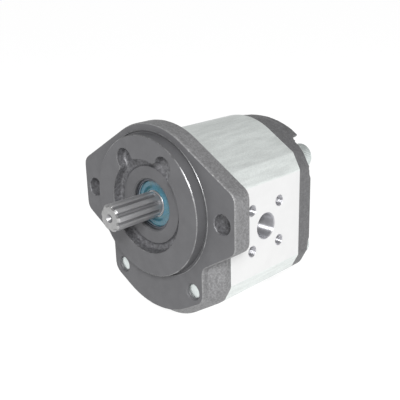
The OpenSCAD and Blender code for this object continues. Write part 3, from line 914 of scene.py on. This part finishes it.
def assembly_bolts():
    """Four socket-head bolts with knurled heads, each on its washer."""
    steps = 96
    angles = np.arange(steps) * math.tau / steps
    end_y, tip_y = BOLTS_HIGH.y, BOLTS_LOW.y
    head_r, shank_r, key_across, knurl = 8, 5, 8, 0.28
    key = hexagon(angles, key_across)
    flutes = head_r + np.where(np.arange(steps) % 2 == 0, 0.0, -knurl)
    profile = [(0, end_y - 6.4), (key * 0.55, end_y - 5.6), (key, end_y - 5)]
    profile += [(key, end_y - 0.5), (key + 0.5, end_y)]
    profile += [(head_r - inset, end_y - depth) for inset, depth in quarter(0.9)]
    profile += [(flutes, end_y - 1.5), (flutes, HEAD_SEAT_Y + 0.9), (head_r, HEAD_SEAT_Y + 0.5)]
    profile += [(head_r - 0.5, HEAD_SEAT_Y), (shank_r + 0.3, HEAD_SEAT_Y), (shank_r, HEAD_SEAT_Y - 0.3)]
    profile += [(shank_r, FLANGE_Y + 1), (THREAD_R, FLANGE_Y + 0.4)]
    profile += bolt_thread(angles, tip_y + 0.7, FLANGE_Y + 0.3)[::-1]
    profile += [(3.7, tip_y), (0, tip_y)]
    r0, r1, edge = 5.25, WASHERS_HIGH.x - BOLT_X, 0.25
    section = box_section(r0, r1, WASHERS_LOW.y, WASHERS_HIGH.y, edge)
    for i, (x, z) in enumerate(BOLT_PLACES):
        bolt = spun(f"assembly_bolt_{i + 1}", profile, at=(x, 0, z), angles=angles, material=ZINC)
        finish_piece(bolt, replaces=("assembly_bolts",))
        washer = spun(f"bolt_washer_{i + 1}", section, at=(x, 0, z), material=ZINC, loop=True)
        finish_piece(washer, replaces=("bolt_washers",))


# --- Gears and shafts ---

TEETH = 12
MODULE = -DRIVEN_Z / TEETH
PITCH_R = -DRIVEN_Z / 2
TIP_R = PITCH_R + MODULE
ROOT_R = PITCH_R - 1.25 * MODULE
PRESSURE = math.radians(25)
BASE_R = PITCH_R * math.cos(PRESSURE)
BACKLASH = 0.16
GEAR_W = 24
GEAR_Y0, GEAR_Y1 = (FLANGE_Y + COVER_Y) / 2 - GEAR_W / 2, (FLANGE_Y + COVER_Y) / 2 + GEAR_W / 2


def involute(angle):
    return np.tan(angle) - angle


def half_tooth(r):
    """Half of a tooth's angle at radius r, from the involute."""
    at_pitch = (MODULE * math.pi / 2 - BACKLASH) / (2 * PITCH_R)
    return at_pitch + involute(PRESSURE) - involute(np.arccos(BASE_R / r))


def gear_angles(phase):
    """Angles at the corners of the gear's teeth and along their flanks."""
    radii = np.linspace(BASE_R, TIP_R, 7)
    half = np.concatenate((half_tooth(radii), [half_tooth(BASE_R) + 0.006]))
    one = np.concatenate((-half, half, [0, math.pi / TEETH]))
    return np.concatenate([one + phase + k * math.tau / TEETH for k in range(TEETH)])


def gear_radii(angles, phase):
    """The gear's radius at each angle."""
    pitch = math.tau / TEETH
    rel = np.abs((angles - phase + pitch / 2) % pitch - pitch / 2)
    radii = np.linspace(BASE_R, TIP_R, 7)
    r = np.interp(rel, half_tooth(radii)[::-1], radii[::-1])
    return np.where(rel > half_tooth(BASE_R) + 0.003, ROOT_R, r)


def distinct(angles):
    """Sorted angles in one turn, without any that nearly coincide."""
    angles = np.sort(np.round(angles % math.tau, 6))
    return angles[np.concatenate(([True], np.diff(angles) > 1.5e-3))]


def gear_profile(angles, phase, y0, y1):
    """A gear with a journal on each side, between the shaft ends y0 and y1."""
    teeth, edge, end = gear_radii(angles, phase), 0.25, 0.8
    return [
        (JOURNAL_R - end, y0),
        (JOURNAL_R, y0 + end),
        (JOURNAL_R, GEAR_Y0),
        (teeth - edge, GEAR_Y0),
        (teeth, GEAR_Y0 + edge),
        (teeth, GEAR_Y1 - edge),
        (teeth - edge, GEAR_Y1),
        (JOURNAL_R, GEAR_Y1),
        (JOURNAL_R, y1 - end),
        (JOURNAL_R - end, y1),
        (3.4, y1),
        (1.0, y1 - 3),
        (1.0, y1 - 5.5),
        (0, y1 - 6),
    ]


def drive_shaft():
    """The drive shaft: nine spline teeth with run-outs, a neck, a journal, the gear and a journal."""
    teeth, phase = 9, math.radians(23)
    outer, root = 7.725, 6.2
    # A gap is root_half wide to each side at its floor, and mouth_half wide at radius mouth_r
    root_half, mouth_r, mouth_half = 0.6, 8.325, 1.95
    cutter_r, runout_y = 22, -7.0
    end_y, neck_y, neck_r, journal_y = SHAFT_LOW.y, 0.5, 6.7, 1.9

    def gap_radius(angles):
        """Radius of the flanks and floor of the spline's gaps at each angle."""
        pitch = math.tau / teeth
        rel = np.abs((angles - phase + pitch / 2) % pitch - pitch / 2)
        t = (root * np.tan(rel) - root_half) / ((mouth_half - root_half) - (mouth_r - root) * np.tan(rel))
        return np.where(rel < math.radians(12.5), root + (mouth_r - root) * np.clip(t, 0, 1), mouth_r)

    corner = math.degrees(math.atan2(root_half, root))
    crest = 11.48
    one = np.radians([0, corner * 0.6, corner, 7, 8.5, 10, crest, crest + 0.5, crest + 1.2, 15, 18, 20])
    middles = [phase + k * math.tau / teeth for k in range(teeth)]
    spline_angles = np.concatenate([middle + way * one for middle in middles for way in (-1, 1)])
    angles = distinct(np.concatenate((spline_angles, gear_angles(0.0))))
    gap = gap_radius(angles)

    def ring(y, limit):
        """The spline's radius at y, where the cutter has left the shaft limit thick."""
        over = max(0.0, y - runout_y)
        floor = root + cutter_r - math.sqrt(max(0.0, cutter_r**2 - over**2))
        return np.minimum(np.maximum(gap, floor), limit)

    chamfer, soft, drill_depth = 1.1, 0.12, 6
    profile = [(0, end_y + drill_depth), (1.0, end_y + drill_depth - 0.5), (1.0, end_y + 2), (2.5, end_y)]
    profile += [(ring(end_y, outer - chamfer), end_y), (ring(end_y, outer - soft), end_y + chamfer - soft)]
    profile += [(ring(end_y, outer), end_y + chamfer + soft)]
    profile += [(ring(y, outer), y) for y in (-20, -10, runout_y)]
    profile += [(ring(y, outer), y) for y in np.linspace(runout_y, neck_y - 0.7, 12)[1:]]
    profile += [(neck_r, neck_y), (neck_r, journal_y)]
    profile += gear_profile(angles, 0.0, journal_y, SHAFT_HIGH.y)
    shaft = spun("drive_shaft_and_gear", profile, angles=angles, material=STEEL)

    def in_gap(centre, normal):
        return math.hypot(centre.x, centre.z) < 6.9 and end_y + 1.5 < centre.y < neck_y

    def on_end(centre, normal):
        return centre.y < end_y + chamfer

    def in_drill(centre, normal):
        return math.hypot(centre.x, centre.z) < 2.4 and end_y < centre.y < end_y + drill_depth

    # The spline's gap floors get the darker steel, painted shade
    repaint(shaft, SPLINE_GAP_SHADE, in_gap)
    # The end face and its chamfer get the darker steel, painted shade
    repaint(shaft, END_FACE_SHADE, on_end)
    # The centre drill's cone gets the darker steel, painted shade that also dims its highlight
    repaint(shaft, SPLINE_GAP_SHADE, in_drill)
    finish_piece(shaft, "drive_shaft", ("drive_gear_shaft",))


def driven_shaft():
    """The driven gear with its journals, turned half a tooth so that it meshes with the drive gear."""
    low, high = box_mm("driven_gear_shaft")
    phase = math.pi / TEETH
    angles = distinct(gear_angles(phase))
    profile = [(0, low.y + 6), (1.0, low.y + 5.5), (1.0, low.y + 3), (3.4, low.y)]
    profile += gear_profile(angles, phase, low.y, high.y)
    shaft = spun("driven_shaft_and_gear", profile, at=(0, 0, DRIVEN_Z), angles=angles, material=STEEL)
    finish_piece(shaft, "driven_gear", ("driven_gear_shaft",))


# --- Shaft seal ---


def shaft_seal():
    """The seal's steel case, and its rubber with the sealing lip behind and the dust lip in front."""
    wall, back_y = 1.2, SEAL_BACK_Y
    inner = SEAL_R - wall
    case = spun(
        "seal_case",
        [
            (inner + 0.2, SEAL_Y + 0.1),
            (SEAL_R - 0.3, SEAL_Y + 0.1),
            (SEAL_R, SEAL_Y + 0.6),
            (SEAL_R, back_y - 0.8),
            (SEAL_R - 0.8, back_y),
            (12, back_y),
            (12, back_y - wall),
            (inner - 0.4, back_y - wall),
            (inner, back_y - wall - 0.4),
            (inner, SEAL_Y + 0.3),
        ],
        steps=96,
        material=CASE,
        loop=True,
    )
    finish_piece(case, replaces=("shaft_seal_case",))
    # The sealing lip stands clear of the journal. The dust lip reaches over the shaft's narrower neck.
    clearance = 0.05
    lip_r = JOURNAL_R + clearance
    lip = spun(
        "seal_lip",
        [
            (inner, SEAL_Y + 0.9),
            (inner, back_y - wall),
            (12.6, back_y - wall),
            (12.6, SEAL_Y + 2.9),
            (12.3, SEAL_Y + 2.6),
            (10.9, SEAL_Y + 3.0),
            (10.6, SEAL_Y + 3.3),
            (10.6, SEAL_Y + 4.4),
            (lip_r + 0.9, SEAL_Y + 5.2),
            (lip_r, SEAL_Y + 4.2),
            (lip_r + 0.5, SEAL_Y + 2.4),
            (lip_r + 0.5, SEAL_Y + 1.1),
            (lip_r - 0.9, SEAL_Y + 0.3),
            (lip_r - 1.1, SEAL_Y - 0.1),
            (lip_r - 0.9, SEAL_Y - 0.35),
            (lip_r - 0.4, SEAL_Y - 0.3),
            (lip_r + 0.7, SEAL_Y + 0.45),
            (lip_r + 1.5, SEAL_Y + 0.95),
            (lip_r + 2.3, SEAL_Y + 1.1),
            (lip_r + 3.0, SEAL_Y + 0.95),
            (inner - 0.9, SEAL_Y + 0.7),
            (inner - 0.3, SEAL_Y + 0.72),
        ],
        steps=96,
        material=TEAL,
        loop=True,
    )
    finish_piece(lip, replaces=("shaft_seal_lip",), angle=60)


def garter_spring():
    """The seal's spring: a close coil bent into a ring."""
    low, high = box_mm("seal_garter_spring")
    coil_r = (high.y - low.y) / 2
    ring_r = high.x - coil_r
    wire_r, turns, around, sides = 0.13, 120, 10, 6
    coil_r -= wire_r
    n = turns * around
    verts, faces = [], []
    for i in range(n):
        t, c = i * math.tau / n, i * math.tau / around
        centre_r = ring_r + coil_r * math.cos(c)
        centre_y = (low.y + high.y) / 2 + coil_r * math.sin(c)
        centre = Vector((centre_r * math.cos(t), centre_y, centre_r * math.sin(t)))
        out = Vector((math.cos(c) * math.cos(t), math.sin(c), math.cos(c) * math.sin(t)))
        across = Vector((-math.sin(t), 0, math.cos(t)))
        for k in range(sides):
            a = k * math.tau / sides
            verts.append(centre + wire_r * (math.cos(a) * out + math.sin(a) * across))
    for i in range(n):
        j = (i + 1) % n
        for k in range(sides):
            m = (k + 1) % sides
            faces.append((i * sides + k, i * sides + m, j * sides + m, j * sides + k))
    spring = new_object("garter_spring", verts, faces, SPRING)
    finish_piece(spring, replaces=("seal_garter_spring",), angle=70)


def retaining_ring():
    """The snap ring in front of the shaft seal, with a gap at its lower left."""
    low, high = box_mm("seal_retaining_ring")
    inner, outer, gap, gap_half_w = 13.7, high.x, math.radians(205), 3
    half = gap_half_w / outer
    steps = 90
    section = box_section(inner, outer, low.y, high.y, 0.15)
    rings = []
    for i in range(steps + 1):
        a = gap + half + (math.tau - 2 * half) * i / steps
        rings.append([(r * math.cos(a), y, r * math.sin(a)) for r, y in section])
    ring = loft("retaining_ring", rings, SPRING)
    finish_piece(ring, replaces=("seal_retaining_ring",))


# --- Stage, light and camera ---


def stage():
    """A plain pale floor, a little bright in itself, so that it stays pale out to the horizon."""
    floor_z = BODY_LOW.z * MM
    half = 30.0
    corners = [(x * half, y * half, floor_z) for x, y in ((-1, -1), (1, -1), (1, 1), (-1, 1))]
    floor = bpy.data.meshes.new("floor")
    floor.from_pydata(corners, [], [(0, 1, 2, 3)])
    obj = bpy.data.objects.new("floor", floor)
    bpy.context.scene.collection.objects.link(obj)
    material = bpy.data.materials.new("pale_floor")
    material.use_nodes = True
    shader = material.node_tree.nodes["Principled BSDF"]
    shader.inputs["Base Color"].default_value = (0.2, 0.2, 0.2, 1)
    shader.inputs["Roughness"].default_value = 0.95
    shader.inputs["Specular IOR Level"].default_value = 0
    shader.inputs["Emission Color"].default_value = (1, 1, 1, 1)
    shader.inputs["Emission Strength"].default_value = 0.9
    floor.materials.append(material)


def area_light(name, place, target, size, power):
    data = bpy.data.lights.new(name, "AREA")
    data.shape = "RECTANGLE"
    data.size, data.size_y = size
    data.energy = power
    lamp = bpy.data.objects.new(name, data)
    lamp.location = place
    lamp.rotation_euler = (Vector(target) - Vector(place)).to_track_quat("-Z", "Y").to_euler()
    bpy.context.scene.collection.objects.link(lamp)


def lights():
    """A dim sky that is pale at the horizon, and a soft light high on the right, near the camera."""
    world = bpy.data.worlds.new("studio")
    world.use_nodes = True
    nodes, links = world.node_tree.nodes, world.node_tree.links
    apart = nodes.new("ShaderNodeSeparateXYZ")
    links.new(nodes.new("ShaderNodeTexCoord").outputs["Generated"], apart.inputs[0])
    height = nodes.new("ShaderNodeMapRange")
    for key, value in (("From Min", 0.08), ("From Max", 0.45), ("To Min", 1.0), ("To Max", SKY)):
        height.inputs[key].default_value = value
    links.new(apart.outputs["Z"], height.inputs["Value"])
    links.new(height.outputs["Result"], nodes["Background"].inputs["Strength"])
    nodes["Background"].inputs["Color"].default_value = (1, 1, 1, 1)
    bpy.context.scene.world = world
    middle = (0, 0.04, -0.01)
    area_light("key_right", (0.70, -0.62, 0.55), middle, (0.26, 0.26), 14.5)


def camera():
    """The camera stands to the right of the shaft's end and above it, turned a little about its own axis."""
    azimuth, elevation, roll = math.radians(44.49), math.radians(18.27), math.radians(-1.55)
    target = Vector((8.33, 30, -3.4)) * MM
    distance = 401.38 * MM
    back = Vector((math.sin(azimuth), -math.cos(azimuth), 0)) * math.cos(elevation)
    back.z = math.sin(elevation)
    level = Vector((math.cos(azimuth), math.sin(azimuth), 0))
    upright = back.cross(level)
    right = math.cos(roll) * level + math.sin(roll) * upright
    up = math.cos(roll) * upright - math.sin(roll) * level
    data = bpy.data.cameras.new("camera")
    data.lens = 60.7
    data.sensor_width = 36
    data.clip_start, data.clip_end = 0.01, 50
    obj = bpy.data.objects.new("camera", data)
    place = target + back * distance
    turned = Matrix((right, up, back)).transposed().to_4x4()
    obj.matrix_world = Matrix.Translation(place) @ turned
    bpy.context.scene.collection.objects.link(obj)
    bpy.context.scene.camera = obj


SLOT_LOOKS = {
    "cast_flange": CAST,
    "cast_cover": COVER_CAST,
    "body_alloy": EXTRUDED,
    "shaft_steel": STEEL,
    "bearing_alloy": BLOCK,
    "bush_bronze": BRONZE,
    "seal_rubber_black": BLACK,
    "seal_rubber_teal": TEAL,
    "backup_plastic": PLASTIC,
    "seal_case_steel": CASE,
    "spring_steel": SPRING,
    "zinc_fastener": ZINC,
    "dowel_steel": DOWEL,
}


def paint_nodes():
    """Gives every CAD node its material."""
    for part in RECORD["subparts"]:
        mesh = frame["nodes"][part["node"]].data
        mesh.materials.clear()
        mesh.materials.append(SLOT_LOOKS[part["material_slot"]])


paint_nodes()
front_flange()
pump_body()
rear_cover()
assembly_bolts()
drive_shaft()
driven_shaft()
shaft_seal()
garter_spring()
retaining_ring()
stage()
lights()
camera()

bpy.context.scene.view_settings.view_transform = "Standard"
